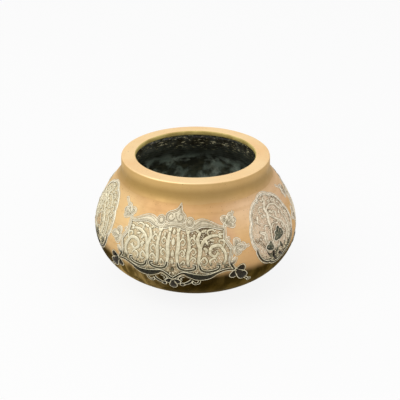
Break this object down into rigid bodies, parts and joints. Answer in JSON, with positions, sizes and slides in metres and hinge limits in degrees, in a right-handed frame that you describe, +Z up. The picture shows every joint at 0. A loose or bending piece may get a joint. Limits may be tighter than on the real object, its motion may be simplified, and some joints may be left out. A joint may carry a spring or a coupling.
{
  "type": "inlaid metal bowl",
  "caption": "Squat round-bellied brass bowl with a heavy collar and flat lip, its wall inlaid with silver cartouches, medallions and scrollwork.",
  "frame": {"origin": "centre of the base, on the plane the bowl stands on", "axes": "+Z up along the bowl's axis, -Y towards the front cartouche's side, +X to its right"},
  "size_m": [0.14, 0.14, 0.088],
  "materials": {
    "brass_body": "worn cast brass, warm and satin above the belly, dark patina below it and inside",
    "brass_collar": "rubbed brass, pale on the lip and olive-gold on the apron",
    "solder": "dull grey soft solder, ragged",
    "silver": "hammered silver sheet, worn, with fine chased lines",
    "dark_silver": "silver sheet tarnished blackish green"
  },
  "bodies": {
    "root": {"bowl_body": "brass_body", "rim_collar": "brass_collar", "rim_solder": "solder", "cartouche_front_border": "silver", "cartouche_front_palmette": "silver", "cartouche_front_roundel_right": "silver", "cartouche_front_roundel_left": "silver", "cartouche_front_finial_upper_right": "silver", "cartouche_front_finial_upper_left": "silver", "cartouche_front_finial_side_right": "silver", "cartouche_front_finial_side_left": "silver", "cartouche_front_scroll_right": "silver", "cartouche_front_scroll_left": "silver", "cartouche_front_pendant": "dark_silver", "cartouche_front_finial_lower_right": "dark_silver", "cartouche_front_finial_lower_left": "dark_silver", "cartouche_right_border": "silver", "cartouche_right_palmette": "silver", "cartouche_right_roundel_right": "silver", "cartouche_right_roundel_left": "silver", "cartouche_right_finial_upper_right": "silver", "cartouche_right_finial_upper_left": "silver", "cartouche_right_finial_side_right": "silver", "cartouche_right_finial_side_left": "silver", "cartouche_right_scroll_right": "silver", "cartouche_right_scroll_left": "silver", "cartouche_right_pendant": "dark_silver", "cartouche_right_finial_lower_right": "dark_silver", "cartouche_right_finial_lower_left": "dark_silver", "cartouche_left_border": "silver", "cartouche_left_palmette": "silver", "cartouche_left_roundel_right": "silver", "cartouche_left_roundel_left": "silver", "cartouche_left_finial_upper_right": "silver", "cartouche_left_finial_upper_left": "silver", "cartouche_left_finial_side_right": "silver", "cartouche_left_finial_side_left": "silver", "cartouche_left_scroll_right": "silver", "cartouche_left_scroll_left": "silver", "cartouche_left_pendant": "dark_silver", "cartouche_left_finial_lower_right": "dark_silver", "cartouche_left_finial_lower_left": "dark_silver", "medallion_right_border": "silver", "medallion_right_spray": "silver", "medallion_right_leaf_left": "silver", "medallion_right_leaf_right": "silver", "medallion_right_bud_upper": "dark_silver", "medallion_right_bud_lower": "dark_silver", "medallion_back_border": "silver", "medallion_back_spray": "silver", "medallion_back_leaf_left": "silver", "medallion_back_leaf_right": "silver", "medallion_back_bud_upper": "dark_silver", "medallion_back_bud_lower": "dark_silver", "medallion_left_border": "silver", "medallion_left_spray": "silver", "medallion_left_leaf_left": "silver", "medallion_left_leaf_right": "silver", "medallion_left_bud_upper": "dark_silver", "medallion_left_bud_lower": "dark_silver"}
  },
  "joints": []
}
